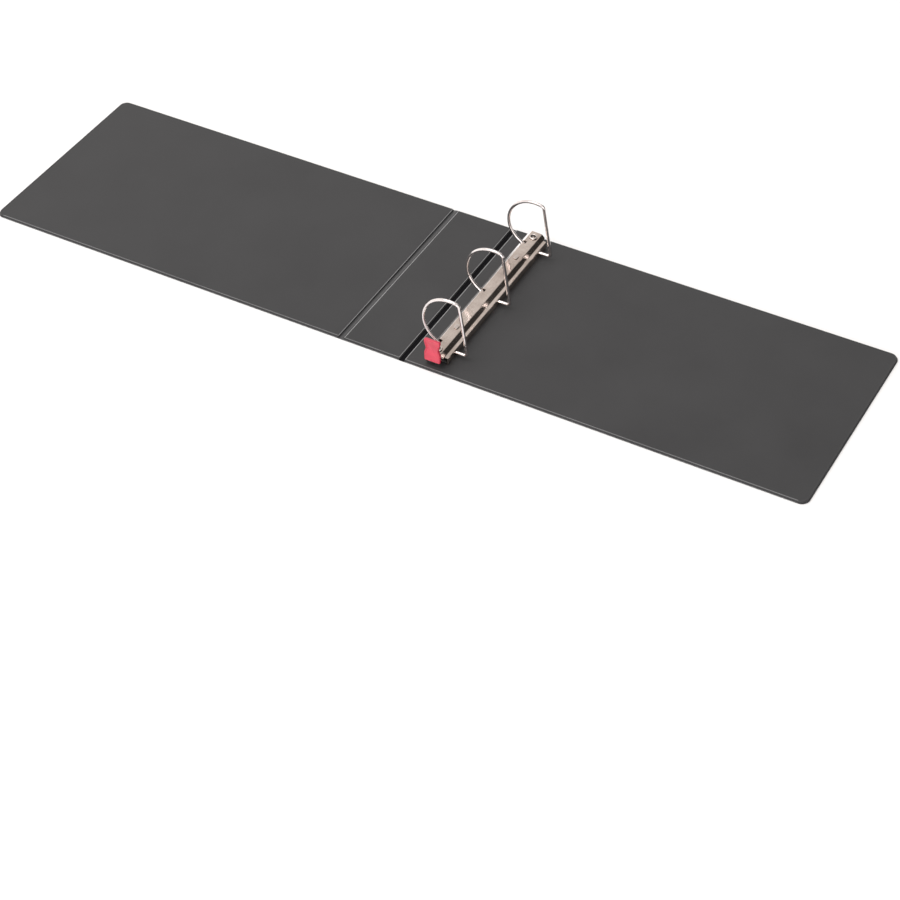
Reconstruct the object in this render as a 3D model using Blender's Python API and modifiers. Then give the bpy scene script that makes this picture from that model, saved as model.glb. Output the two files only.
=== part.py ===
"""Three-ring binder with slanted D-shaped rings, lying open and flat.

Three covered boards (front, spine, back) are joined by two flexible hinge webs.
The ring mechanism is riveted to the back cover beside the spine: a plated housing,
two sprung hinge plates that carry the ring halves, a travel bar that locks them,
and a lever with a moulded grip at the near end.

Frame: metres, +Z up. The origin is on the surface the binder lies on, under the
middle of the spine. +X runs to the back cover, +Y to the far edge of the covers.
"""
import math

import bmesh
import bpy
from mathutils import Matrix, Vector

MM = 0.001

# ---- covers -----------------------------------------------------------------
PANEL_WIDTH = 522.0 * MM        # middle of a hinge groove to the cover's outer edge
SPINE_WIDTH = 85.0 * MM         # between the middles of the two grooves
COVER_HEIGHT = 288.0 * MM       # along Y
CORNER_RADIUS = 11.0 * MM
SKIN = 0.4 * MM                 # vinyl sheet
BOARD = 1.8 * MM                # chipboard
GAP = 0.3 * MM                  # between layers that lie on each other
RIM = 1.2 * MM                  # turned-down welded edge of the inner sheet
WEB_THICKNESS = 0.8 * MM
WEB_LENGTH = 5.2 * MM           # between the two bend lines of one groove
WEB_END_CLEARANCE = 0.3 * MM    # between a web's round end and the panel beside it

# ---- rings ------------------------------------------------------------------
RING_SPACING = 108.0 * MM
WIRE = 4.2 * MM                 # diameter
RING_CENTRE_X = 47.0 * MM       # from the middle of the back groove
RING_CENTRE_Z = 48.5 * MM
RING_RADIUS = 36.0 * MM         # centre line of the round side
LEG_FOOT_X = 70.7 * MM          # where the leg's line meets the foot's
LEG_LEAN = math.radians(8.5)
TOP_CORNER_RADIUS = 5.0 * MM
FOOT_CORNER_RADIUS = 3.4 * MM
RING_SPLIT_FALL = math.radians(7.0)     # past the round side's highest point, where the halves meet
ROUND_SIDE_FALL = math.radians(13.0)    # past it, where the round side ends in a straight
RING_STEP = 1.3 * MM            # half the length of the stepped joint
TENON = 2.6 * MM                # diameter of the riveted wire ends
LEFT_LEG_INSET = 6.2 * MM       # from the housing's left side
RIGHT_TENON_INSET = 4.1 * MM    # from the right plate's pivot line
ROUND_SIDE_END = math.radians(-124.0)   # where the round side turns down into the left leg
KNEE_RADIUS = 2.4 * MM
LEFT_FOOT_RAISE = 0.35 * MM     # of the left leg's end above the plate
STEP_PLAY = 0.15 * MM           # between the two halves' steps
TENON_BELOW = 1.2 * MM          # the plate's middle
TENON_OVERLAP = 1.0 * MM        # of a tenon into the left leg

# ---- housing ----------------------------------------------------------------
SHEET = 0.8 * MM
HOUSING_LEFT = 27.0 * MM        # from the middle of the back groove
HOUSING_WIDTH = 27.5 * MM
HOUSING_OVERHANG = 24.5 * MM    # beyond the outer rings
HOUSING_HEIGHT = 15.7 * MM      # above the covers
BEVEL_WIDTH = 4.4 * MM
BEVEL_DROP = 3.2 * MM
TOP_EDGE_INSET = 8.9 * MM       # from the right side to where the flat top turns down
TOP_TILT_DROP = 0.7 * MM
FLANGE_WIDTH = 4.6 * MM
FLANGE_HEADROOM = 0.9 * MM      # over the right legs' feet
FLANGE_END_INSET = 5.5 * MM     # the flange and right wall stop short of the top's ends
LIP_WIDTH = 2.6 * MM
HOUSING_LIFT = 0.3 * MM         # above the inner sheet
SLOPE_FOOT_RISE = 0.4 * MM      # from the flange's outer side to the slope's foot
LEG_SLOT_PLAY = 0.7 * MM        # each side of a ring's leg
LEFT_SLOT_BEHIND = 0.4 * MM     # to the right of a left leg
LEFT_SLOT_DEPTH = 6.5 * MM      # down from the housing's top
RIGHT_SLOT_REACH = 1.5 * MM     # in from the housing's right side
SLOT_UNDER_FLANGE = 0.05 * MM
CUT_PAST = 1.0 * MM             # how far an opening's cutter runs past the surface

# ---- hinge plates, travel bar and fasteners ---------------------------------
PLATE = 1.0 * MM
PLATE_PIVOT_LIFT = 3.3 * MM     # above the covers
PLATE_EDGE_PLAY = 1.1 * MM      # from the housing's side wall to the pivot line
PLATE_SEAM = 0.6 * MM
PLATE_TILT = math.radians(5.0)  # seam down when the rings are shut
RIVET_INSET = 11.5 * MM         # from the housing's left side
RIVET_BEYOND_RING = 14.0 * MM
RIVET_SHANK = 6.0 * MM
RIVET_HEAD = 11.0 * MM
RIVET_CLEARANCE = 0.3 * MM
CAP_WALL = 0.7 * MM             # of the sleeve round each mounting rivet's end
GUIDE_INSIDE_RING = 32.0 * MM
GUIDE_SHANK = 2.6 * MM
GUIDE_FOOT = 5.0 * MM
GUIDE_HEAD_WIDTH = 5.2 * MM
GUIDE_HEAD_LENGTH = 9.0 * MM
GUIDE_HEAD_RISE = 0.6 * MM
BAR_THICKNESS = 1.0 * MM
BAR_DROP = 4.7 * MM             # from the housing's top to the bar's underside
BAR_LEG_CLEARANCE = 0.3 * MM    # to the left legs
BAR_PAST_SEAM = 0.65 * MM
BAR_END_MARGIN = 1.7 * MM       # of the wide end round the mounting rivet's slot
BAR_PAST_TAB = 37.0 * MM
BAR_TRAVEL = 4.7 * MM
TAB_INSIDE_RING = (48.0 * MM, 58.0 * MM)    # near tab, far tab
TAB_LENGTH = 3.0 * MM
TAB_CLEARANCE = 0.55 * MM       # over the seam when the rings are shut
TAB_HOLD = 1.0 * MM             # length of plate that a tab stands over when shut
TAB_HALF_WIDTH = 2.6 * MM
TAB_SINK = 0.1 * MM             # of a tab's top below the bar's upper side
TAB_SLOT_PLAY = 0.4 * MM
PLATE_END_INSET = 6.0 * MM      # from the housing's ends
PLATE_CUT_HALF = 4.0 * MM       # half the height of a cutter through a tilted plate
PLATE_NOTCH_PLAY = 0.6 * MM     # round the mounting rivets
TENON_PLAY = 0.3 * MM
HEAD_LIFT = 0.3 * MM            # of the mounting rivets' heads above the housing
HEAD_RECESS = 2.9 * MM          # radius of the rolled head's hollow
HEAD_RIM = 0.5 * MM
HEAD_CREST = 1.1 * MM
HEAD_SHOULDER = 0.8 * MM
HEAD_EDGE = 0.3 * MM
HOLLOW_MIDDLE = -0.4 * MM       # the hollow's middle and side, from the head's seat
HOLLOW_SIDE = -0.2 * MM
GUIDE_HEAD_LIFT = 0.1 * MM
GUIDE_HEAD_ROUND = 0.25 * MM
GUIDE_FOOT_THICKNESS = 1.0 * MM
GUIDE_OVERLAP = 0.5 * MM        # of a guide rivet's shank into its foot
BAR_NEAR_INSET = 0.8 * MM       # from the housing's near end
BAR_SHOULDER = 1.9 * MM         # from the rivet's slot to the end of the bar's wide part
BAR_TAPER = 2.0 * MM

# ---- lever ------------------------------------------------------------------
LEVER_INSET = 11.6 * MM         # from the housing's left side
LEVER_PIVOT_INSET = 3.0 * MM    # from the housing's near end
LEVER_PIVOT_LIFT = 6.3 * MM     # above the covers
LEVER_WIDTH = 12.8 * MM
LEVER_SHEET = 1.4 * MM
PIN = 2.4 * MM
PIN_PLAY = 0.3 * MM
BARREL = 5.2 * MM
EAR = 1.0 * MM
EAR_PLAY = 0.5 * MM
GRIP_SIDE = 4.3 * MM            # of plastic beside the lever, at the grip's widest
GRIP_WAIST_SIDE = 1.9 * MM
GRIP_LIFT = 6.6 * MM            # above the covers
GRIP_HEIGHT = 32.6 * MM
GRIP_THICKNESS = 4.6 * MM
GRIP_GAP = 0.7 * MM             # to the housing's end
GRIP_ROUND = 0.9 * MM
TONGUE_WIDTH = 5.0 * MM
TONGUE_HALF_THICKNESS = 0.8 * MM
TONGUE_FROM = 1.8 * MM          # the tongue's two ends, above the pin
TONGUE_TO = 7.2 * MM
TONGUE_PLAY = 0.4 * MM          # beside the tongue in the bar's slot
TONGUE_SLOT_HALF = 2.0 * MM
EAR_END_INSET = 0.2 * MM        # from the housing's near end
EAR_BELOW = 1.0 * MM            # the barrel
PIN_FIT = 0.05 * MM             # round the pin in the ears
ARM_BELOW = 0.9 * MM            # the arm's faces, from the pin
ARM_ABOVE = 1.1 * MM
ARM_END = 1.6 * MM
CORE_BELOW = 0.8 * MM
CORE_INSET = 0.1 * MM           # from the arm's sides
CORE_STEP = 0.05 * MM           # from the arm's near face
CORE_TOP_INSET = 5.0 * MM       # from the grip's top
LIP_ABOVE_COVER = 0.4 * MM      # the lifting lip, and the post it stands on
LIP_THICKNESS = 0.8 * MM
LIP_SIDES = (2.4 * MM, 0.05 * MM)       # in from the lever's side
LIP_HALF_LENGTH = 1.2 * MM
POST_SIDES = (2.3 * MM, 0.1 * MM)
POST_ENDS = (1.1 * MM, 0.1 * MM)        # before and behind the pin
POST_FOOT = 0.2 * MM
POST_TOP = 1.7 * MM             # below the pin
SOCKET_PLAY = 0.3 * MM          # round the lever's core in the grip
DOOR_ABOVE = 1.5 * MM           # the pin, of the opening for the arm in the grip
GRIP_NECK = (0.36, 0.58, 0.86)  # shares of its height: waist's start, narrowest, end

# ---- worked out from the above ----------------------------------------------
GROOVE_X = SPINE_WIDTH / 2
COVER_TOP = 2 * SKIN + 2 * GAP + BOARD
HOUSING_RIGHT = HOUSING_LEFT + HOUSING_WIDTH
HOUSING_LENGTH = 2 * (RING_SPACING + HOUSING_OVERHANG)
HOUSING_TOP = COVER_TOP + HOUSING_HEIGHT
TOP_RIGHT_X = HOUSING_RIGHT - TOP_EDGE_INSET
PLATE_PIVOT_Z = COVER_TOP + PLATE_PIVOT_LIFT
RIVET_X = HOUSING_LEFT + RIVET_INSET
RIVET_SPREAD = 2 * (RING_SPACING + RIVET_BEYOND_RING)
GUIDE_SPREAD = 2 * (RING_SPACING - GUIDE_INSIDE_RING)
CAP_SLEEVE = RIVET_SHANK + 2 * (RIVET_CLEARANCE + CAP_WALL)
BAR_Z = HOUSING_TOP - BAR_DROP
TAB_PLACES = (TAB_INSIDE_RING[0] - RING_SPACING, RING_SPACING - TAB_INSIDE_RING[1])
BAR_FAR_END = TAB_PLACES[1] + TAB_LENGTH + BAR_PAST_TAB
LEVER_X = HOUSING_LEFT + LEVER_INSET
LEVER_PIVOT_Z = COVER_TOP + LEVER_PIVOT_LIFT
GRIP_BOTTOM = COVER_TOP + GRIP_LIFT
GRIP_WIDTH = LEVER_WIDTH + 2 * GRIP_SIDE
GRIP_WAIST = LEVER_WIDTH + 2 * GRIP_WAIST_SIDE
BEND_Z = WEB_THICKNESS / 2
PANEL_SETBACK = WEB_LENGTH / 2 + WEB_THICKNESS / 2 + WEB_END_CLEARANCE
RING_PLACES = {"near": -RING_SPACING, "middle": 0.0, "far": RING_SPACING}
LEFT_PIVOT_X = HOUSING_LEFT + SHEET + PLATE_EDGE_PLAY
RIGHT_PIVOT_X = HOUSING_RIGHT - SHEET - PLATE_EDGE_PLAY
SEAM_X = (LEFT_PIVOT_X + RIGHT_PIVOT_X) / 2
PLATE_LENGTH = HOUSING_LENGTH - 2 * PLATE_END_INSET
FOOT_Z = PLATE_PIVOT_Z + PLATE / 2 + WIRE / 2
FLANGE_Z = FOOT_Z + WIRE / 2 + FLANGE_HEADROOM + SHEET
LEFT_LEG_X = HOUSING_LEFT + LEFT_LEG_INSET
RIGHT_TENON_X = RIGHT_PIVOT_X - RIGHT_TENON_INSET
HOUSING_NEAR = -HOUSING_LENGTH / 2
LEVER_PIVOT_Y = HOUSING_NEAR + LEVER_PIVOT_INSET
EDGE_SEGMENTS = 8


def reset_scene():
    for old in list(bpy.data.objects):
        bpy.data.objects.remove(old, do_unlink=True)


def new_collection(name):
    collection = bpy.data.collections.new(name)
    bpy.context.scene.collection.children.link(collection)
    return collection


reset_scene()
PARTS = new_collection("three_ring_binder")
CUTTERS = new_collection("cutters")


def material(name, colour, roughness, metallic=0.0):
    made = bpy.data.materials.new(name)
    made.use_nodes = True
    shader = made.node_tree.nodes["Principled BSDF"]
    shader.inputs["Base Color"].default_value = (*colour, 1.0)
    shader.inputs["Roughness"].default_value = roughness
    shader.inputs["Metallic"].default_value = metallic
    return made


VINYL = material("black_vinyl", (0.055, 0.055, 0.058), 0.5)
CHIPBOARD = material("grey_chipboard", (0.32, 0.29, 0.25), 0.9)
NICKEL = material("nickel_plate", (0.78, 0.74, 0.71), 0.18, 1.0)
STEEL = material("plain_steel", (0.55, 0.55, 0.56), 0.35, 1.0)
RED = material("red_plastic", (0.86, 0.09, 0.14), 0.32)


# ---- shape helpers ----------------------------------------------------------
def add_part(name, mesh, finish, smooth_angle=None):
    made = bpy.data.objects.new(name, mesh)
    PARTS.objects.link(made)
    if finish.name not in mesh.materials:
        mesh.materials.append(finish)
    if smooth_angle is not None:
        mesh.shade_smooth()
        mesh.set_sharp_from_angle(angle=math.radians(smooth_angle))
    return made


def add_cutter(name, mesh):
    made = bpy.data.objects.new(name, mesh)
    CUTTERS.objects.link(made)
    made.hide_render = True
    made.display_type = "WIRE"
    return made


def mesh_from_curve(curve, matrix):
    """The closed mesh of a curve, with its caps welded, moved by matrix."""
    holder = bpy.data.objects.new("curve_holder", curve)
    bpy.context.scene.collection.objects.link(holder)
    bpy.context.view_layer.update()
    evaluated = holder.evaluated_get(bpy.context.evaluated_depsgraph_get())
    mesh = bpy.data.meshes.new_from_object(evaluated)
    shape = bmesh.new()
    shape.from_mesh(mesh)
    bmesh.ops.remove_doubles(shape, verts=shape.verts, dist=1e-6)
    bmesh.ops.transform(shape, matrix=matrix, verts=shape.verts)
    bmesh.ops.recalc_face_normals(shape, faces=shape.faces)
    shape.to_mesh(mesh)
    shape.free()
    bpy.data.objects.remove(holder, do_unlink=True)
    return mesh


def outline_mesh(points, thickness, matrix=Matrix(), rounding=0.0):
    """A flat outline in local XY, centred on local Z and given a thickness."""
    curve = bpy.data.curves.new("outline", "CURVE")
    curve.dimensions = "2D"
    curve.fill_mode = "BOTH"
    curve.extrude = thickness / 2 - rounding
    curve.bevel_depth = rounding
    curve.bevel_resolution = 2 if rounding else 0
    curve.offset = -rounding
    spline = curve.splines.new("POLY")
    spline.points.add(len(points) - 1)
    for point, (x, y) in zip(spline.points, points):
        point.co = (x, y, 0.0, 1.0)
    spline.use_cyclic_u = True
    return mesh_from_curve(curve, matrix)


def box_mesh(low, high):
    low, high = Vector(low), Vector(high)
    shape = bmesh.new()
    size = Matrix.Diagonal((*(high - low), 1.0))
    bmesh.ops.create_cube(shape, size=1.0, matrix=Matrix.Translation((low + high) / 2) @ size)
    mesh = bpy.data.meshes.new("box")
    shape.to_mesh(mesh)
    shape.free()
    return mesh


def cylinder_mesh(start, end, radius, segments=24):
    start, end = Vector(start), Vector(end)
    along = end - start
    turn = along.to_track_quat("Z", "Y").to_matrix().to_4x4()
    shape = bmesh.new()
    bmesh.ops.create_cone(shape, cap_ends=True, segments=segments, radius1=radius, radius2=radius,
                          depth=along.length, matrix=Matrix.Translation((start + end) / 2) @ turn)
    mesh = bpy.data.meshes.new("cylinder")
    shape.to_mesh(mesh)
    shape.free()
    return mesh


def wire_mesh(points, diameter):
    """A round wire of one diameter along a smooth run of points, with flat ends."""
    curve = bpy.data.curves.new("wire", "CURVE")
    curve.dimensions = "3D"
    curve.bevel_depth = diameter / 2
    curve.bevel_resolution = 3
    curve.use_fill_caps = True
    spline = curve.splines.new("POLY")
    spline.points.add(len(points) - 1)
    for point, place in zip(spline.points, points):
        point.co = (*place, 1.0)
    return mesh_from_curve(curve, Matrix())


def joined_mesh(meshes):
    """Several separate closed shapes in one mesh, for use as one cutter."""
    shape = bmesh.new()
    for mesh in meshes:
        shape.from_mesh(mesh)
    mesh = bpy.data.meshes.new("joined")
    shape.to_mesh(mesh)
    shape.free()
    return mesh


def boolean(target, operation, name, meshes):
    cutter = add_cutter(f"{target.name}_{name}", joined_mesh(meshes))
    step = target.modifiers.new(name, "BOOLEAN")
    step.operation = operation
    step.solver = "EXACT"
    step.object = cutter


def baked(target):
    """Applies an object's modifiers to its own mesh, so copies can share it."""
    bpy.context.view_layer.update()
    evaluated = target.evaluated_get(bpy.context.evaluated_depsgraph_get())
    mesh = bpy.data.meshes.new_from_object(evaluated)
    target.modifiers.clear()
    target.data = mesh
    return mesh


def arc_points(centre, radius, start, end, count):
    """Points on an arc in a plane, with both ends; angles in radians."""
    steps = [start + (end - start) * i / (count - 1) for i in range(count)]
    return [(centre[0] + radius * math.cos(a), centre[1] + radius * math.sin(a)) for a in steps]


def rounded_corner(before, corner, after, radius, count=EDGE_SEGMENTS):
    """The arc that rounds one corner of a run of straight lines."""
    before, corner, after = Vector(before), Vector(corner), Vector(after)
    arrive, leave = (corner - before).normalized(), (after - corner).normalized()
    turn = arrive.angle_signed(leave)
    reach = radius * math.tan(abs(turn) / 2)
    side = -1.0 if turn > 0 else 1.0
    normal = Vector((-arrive.y, arrive.x)) * side
    centre = corner - arrive * reach + normal * radius
    first = math.atan2(-normal.y, -normal.x)
    return arc_points(centre, radius, first, first - turn, count)


def bar_through(start_z, end_z, x, y, radius, segments=24):
    return cylinder_mesh((x, y, start_z), (x, y, end_z), radius, segments)


def rounded_rectangle(left, right, near, far, left_radius, right_radius):
    corners = [((left, near), left_radius), ((right, near), right_radius),
               ((right, far), right_radius), ((left, far), left_radius)]
    points = []
    for index, (corner, radius) in enumerate(corners):
        before = corners[index - 1][0]
        after = corners[(index + 1) % 4][0]
        points += rounded_corner(before, corner, after, radius)
    return points


def slab_mesh(left, right, half_height, radii, low, high):
    points = rounded_rectangle(left, right, -half_height, half_height, *radii)
    return outline_mesh(points, high - low, Matrix.Translation((0.0, 0.0, (low + high) / 2)))


def turned_mesh(profile, place, segments=28):
    """A shape turned about a vertical line; the profile runs top to bottom."""
    shape = bmesh.new()
    corners = [shape.verts.new((radius, 0.0, z)) for radius, z in profile]
    for first, second in zip(corners, corners[1:]):
        shape.edges.new((first, second))
    mesh = bpy.data.meshes.new("profile")
    shape.to_mesh(mesh)
    shape.free()
    holder = bpy.data.objects.new("profile_holder", mesh)
    bpy.context.scene.collection.objects.link(holder)
    turn = holder.modifiers.new("turn", "SCREW")
    turn.steps = turn.render_steps = segments
    turn.use_merge_vertices = True
    turn.merge_threshold = 0.00001
    turned = baked(holder)
    bpy.data.objects.remove(holder, do_unlink=True)
    turned.transform(Matrix.Translation(place))
    return turned


def axis_empty(name, place, parent=None):
    made = bpy.data.objects.new(name, None)
    made.empty_display_size = 0.01
    PARTS.objects.link(made)
    made.parent = parent
    made.location = Vector(place) - (parent.matrix_world.translation if parent else Vector())
    bpy.context.view_layer.update()
    return made


def put_on(axis, *pieces):
    """Gives pieces their origin on a joint's axis, without moving their shapes."""
    origin = axis.matrix_world.translation.copy()
    moved = set()
    for piece in pieces:
        if piece.data.name not in moved:
            piece.data.transform(Matrix.Translation(-origin))
            moved.add(piece.data.name)
        piece.parent = axis


# ---- covers -----------------------------------------------------------------
def make_panel(name, hinge_side, outer_side, radii, rivets=False):
    """One covered board: outer sheet, chipboard, and the inner sheet with its turned rim."""
    left, right = min(hinge_side, outer_side), max(hinge_side, outer_side)
    half = COVER_HEIGHT / 2
    inset = RIM + GAP
    board_radii = [max(radius - inset, GAP) for radius in radii]
    outer = add_part(f"{name}_outer_skin", slab_mesh(left, right, half, radii, 0.0, SKIN), VINYL)
    board_low = SKIN + GAP
    board = add_part(f"{name}_board", slab_mesh(left + inset, right - inset, half - inset, board_radii,
                                                board_low, board_low + BOARD), CHIPBOARD)
    liner = add_part(f"{name}_inner_liner", slab_mesh(left, right, half, radii, board_low, COVER_TOP), VINYL)
    pocket_radii = [max(radius - RIM, GAP) for radius in radii]
    pocket = slab_mesh(left + RIM, right - RIM, half - RIM, pocket_radii, 0.0, COVER_TOP - SKIN)
    boolean(liner, "DIFFERENCE", "pocket", [pocket])
    if rivets:
        x = GROOVE_X + RIVET_X
        places = (-RIVET_SPREAD / 2, RIVET_SPREAD / 2)
        reach = COVER_TOP + GAP
        for piece, radius in ((outer, RIVET_HEAD / 2), (board, CAP_SLEEVE / 2), (liner, RIVET_SHANK / 2)):
            holes = [bar_through(-GAP, reach, x, y, radius + RIVET_CLEARANCE) for y in places]
            boolean(piece, "DIFFERENCE", "rivet_holes", holes)
    return outer, board, liner


def make_web(name, groove):
    """The flexible strip of one groove, with a round end on each bend line."""
    half_turn = math.pi / 2
    radius = WEB_THICKNESS / 2
    points = arc_points((WEB_LENGTH / 2, 0.0), radius, -half_turn, half_turn, EDGE_SEGMENTS)
    points += arc_points((-WEB_LENGTH / 2, 0.0), radius, half_turn, 3 * half_turn, EDGE_SEGMENTS)
    upright = Matrix.Translation((groove, 0.0, BEND_Z)) @ Matrix.Rotation(math.pi / 2, 4, "X")
    return add_part(name, outline_mesh(points, COVER_HEIGHT, upright), VINYL, 40)


def make_covers():
    edge = GROOVE_X + PANEL_WIDTH
    square = 1.0 * MM
    make_panel("back", GROOVE_X + PANEL_SETBACK, edge, (square, CORNER_RADIUS), rivets=True)
    back_web = make_web("back_hinge_web", GROOVE_X)
    spine_edge = GROOVE_X - PANEL_SETBACK
    spine = make_panel("spine", -spine_edge, spine_edge, (square, square))
    front_web = make_web("front_hinge_web", -GROOVE_X)
    front = make_panel("front", -GROOVE_X - PANEL_SETBACK, -edge, (CORNER_RADIUS, square))
    half_web = WEB_LENGTH / 2
    back_bend = axis_empty("back_bend_axis", (GROOVE_X + half_web, 0.0, BEND_Z))
    spine_bend = axis_empty("spine_bend_axis", (GROOVE_X - half_web, 0.0, BEND_Z), back_bend)
    front_web_bend = axis_empty("front_web_bend_axis", (half_web - GROOVE_X, 0.0, BEND_Z), spine_bend)
    front_bend = axis_empty("front_bend_axis", (-GROOVE_X - half_web, 0.0, BEND_Z), front_web_bend)
    for axis, pieces in ((back_bend, (back_web,)), (spine_bend, spine),
                         (front_web_bend, (front_web,)), (front_bend, front)):
        cutters = [step.object for piece in pieces for step in piece.modifiers]
        put_on(axis, *pieces, *cutters)


# ---- ring mechanism ---------------------------------------------------------
def housing_profile():
    """The housing's outer surface from its left lip, over the top, to its right lip."""
    foot = COVER_TOP + HOUSING_LIFT
    left, right = HOUSING_LEFT, HOUSING_RIGHT
    tilt_end = HOUSING_TOP - TOP_TILT_DROP
    slope_foot_x = right - FLANGE_WIDTH
    corners = [(left + LIP_WIDTH, foot), (left, foot), (left, HOUSING_TOP - BEVEL_DROP),
               (left + BEVEL_WIDTH, HOUSING_TOP), (TOP_RIGHT_X, tilt_end),
               (slope_foot_x, FLANGE_Z + SLOPE_FOOT_RISE), (right, FLANGE_Z), (right, foot),
               (right - LIP_WIDTH, foot)]
    radii = [0.0, 0.9, 1.2, 1.2, 3.0, 2.6, 0.9, 0.9, 0.0]
    points = [corners[0]]
    for index in range(1, len(corners) - 1):
        points += rounded_corner(corners[index - 1], corners[index], corners[index + 1],
                                 radii[index] * MM, 5)
    return points + [corners[-1]]


def housing_height(x):
    """Height of the housing's outer surface at x, on the top or the slope right of it."""
    profile = [point for point in housing_profile() if point[1] > COVER_TOP + HOUSING_HEIGHT / 2]
    for (x0, z0), (x1, z1) in zip(profile, profile[1:]):
        if x0 <= x <= x1:
            return z0 + (z1 - z0) * (x - x0) / (x1 - x0)
    return FLANGE_Z


def make_housing():
    shape = bmesh.new()
    near, far = HOUSING_NEAR, -HOUSING_NEAR
    rows = [[shape.verts.new((GROOVE_X + x, y, z)) for x, z in housing_profile()] for y in (near, far)]
    for i in range(len(rows[0]) - 1):
        shape.faces.new((rows[0][i], rows[0][i + 1], rows[1][i + 1], rows[1][i]))
    bmesh.ops.recalc_face_normals(shape, faces=shape.faces)
    mesh = bpy.data.meshes.new("ring_housing")
    shape.to_mesh(mesh)
    shape.free()
    housing = add_part("ring_housing", mesh, NICKEL, 30)
    skin = housing.modifiers.new("sheet", "SOLIDIFY")
    skin.thickness = SHEET
    skin.offset = -1.0
    skin.use_even_offset = True

    cuts = []
    top = HOUSING_TOP + 2 * CUT_PAST
    far_left, far_right = GROOVE_X + HOUSING_LEFT - CUT_PAST, GROOVE_X + HOUSING_RIGHT + CUT_PAST
    half_slot = WIRE / 2 + LEG_SLOT_PLAY
    slot_right = GROOVE_X + LEFT_LEG_X + WIRE / 2 + LEFT_SLOT_BEHIND
    slot_top = FLANGE_Z - SHEET - SLOT_UNDER_FLANGE
    for y in RING_PLACES.values():
        cuts.append(box_mesh((far_left, y - half_slot, HOUSING_TOP - LEFT_SLOT_DEPTH),
                             (slot_right, y + half_slot, top)))
        cuts.append(box_mesh((GROOVE_X + HOUSING_RIGHT - RIGHT_SLOT_REACH, y - half_slot, COVER_TOP),
                             (far_right, y + half_slot, slot_top)))
    slope_foot = GROOVE_X + HOUSING_RIGHT - FLANGE_WIDTH - SLOPE_FOOT_RISE
    for side in (-1, 1):
        ends = sorted((side * (HOUSING_LENGTH / 2 - FLANGE_END_INSET),
                       side * (HOUSING_LENGTH / 2 + CUT_PAST)))
        cuts.append(box_mesh((slope_foot, ends[0], 0.0), (far_right, ends[1], top)))
    for spread, shank in ((RIVET_SPREAD, RIVET_SHANK), (GUIDE_SPREAD, GUIDE_SHANK)):
        for y in (-spread / 2, spread / 2):
            cuts.append(bar_through(HOUSING_TOP - 3 * CUT_PAST, top, GROOVE_X + RIVET_X, y,
                                    shank / 2 + RIVET_CLEARANCE))
    boolean(housing, "DIFFERENCE", "openings", cuts)

    ears = []
    low = LEVER_PIVOT_Z - BARREL / 2 - EAR_BELOW
    for side in (-1, 1):
        inner = GROOVE_X + LEVER_X + side * (LEVER_WIDTH / 2 + EAR_PLAY)
        outer = inner + side * EAR
        high = min(housing_height(inner - GROOVE_X), housing_height(outer - GROOVE_X)) - SHEET / 2
        ears.append(box_mesh((min(inner, outer), HOUSING_NEAR + EAR_END_INSET, low),
                             (max(inner, outer), LEVER_PIVOT_Y + BARREL / 2, high)))
    boolean(housing, "UNION", "ears", ears)
    reach = LEVER_WIDTH / 2 + EAR_PLAY + EAR + CUT_PAST
    pin_hole = cylinder_mesh((GROOVE_X + LEVER_X - reach, LEVER_PIVOT_Y, LEVER_PIVOT_Z),
                             (GROOVE_X + LEVER_X + reach, LEVER_PIVOT_Y, LEVER_PIVOT_Z), PIN / 2 + PIN_FIT)
    boolean(housing, "DIFFERENCE", "pin_holes", [pin_hole])


def make_hinge_plate(side):
    """One sprung plate: flat when built, then turned about its outer edge to seam-down."""
    pivot_x = GROOVE_X + (LEFT_PIVOT_X if side == "left" else RIGHT_PIVOT_X)
    seam = GROOVE_X + SEAM_X + (-PLATE_SEAM / 2 if side == "left" else PLATE_SEAM / 2)
    half = PLATE_LENGTH / 2
    low, high = min(pivot_x, seam), max(pivot_x, seam)
    mesh = box_mesh((low, -half, PLATE_PIVOT_Z - PLATE / 2), (high, half, PLATE_PIVOT_Z + PLATE / 2))
    tilt = PLATE_TILT if side == "left" else -PLATE_TILT
    about = Vector((pivot_x, 0.0, PLATE_PIVOT_Z))
    mesh.transform(Matrix.Translation(about) @ Matrix.Rotation(tilt, 4, "Y") @ Matrix.Translation(-about))
    plate = add_part(f"{side}_hinge_plate", mesh, STEEL)

    cuts = []
    low_z, high_z = PLATE_PIVOT_Z - PLATE_CUT_HALF, PLATE_PIVOT_Z + PLATE_CUT_HALF
    notch = RIVET_SHANK / 2 + PLATE_NOTCH_PLAY
    for y in (-RIVET_SPREAD / 2, RIVET_SPREAD / 2):
        cuts.append(box_mesh((GROOVE_X + RIVET_X - notch, y - notch, low_z),
                             (GROOVE_X + RIVET_X + notch, y + notch, high_z)))
    tab_left, tab_right = tab_span()
    for y in TAB_PLACES:
        cuts.append(box_mesh((tab_left - TAB_SLOT_PLAY, y - BAR_TRAVEL - TAB_SLOT_PLAY, low_z),
                             (tab_right + TAB_SLOT_PLAY, y + TAB_LENGTH - TAB_HOLD, high_z)))
    tenon_x = GROOVE_X + (LEFT_LEG_X if side == "left" else RIGHT_TENON_X)
    for y in RING_PLACES.values():
        cuts.append(bar_through(low_z, high_z, tenon_x, y, TENON / 2 + TENON_PLAY, 16))
    boolean(plate, "DIFFERENCE", "openings", cuts)
    return plate


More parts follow.
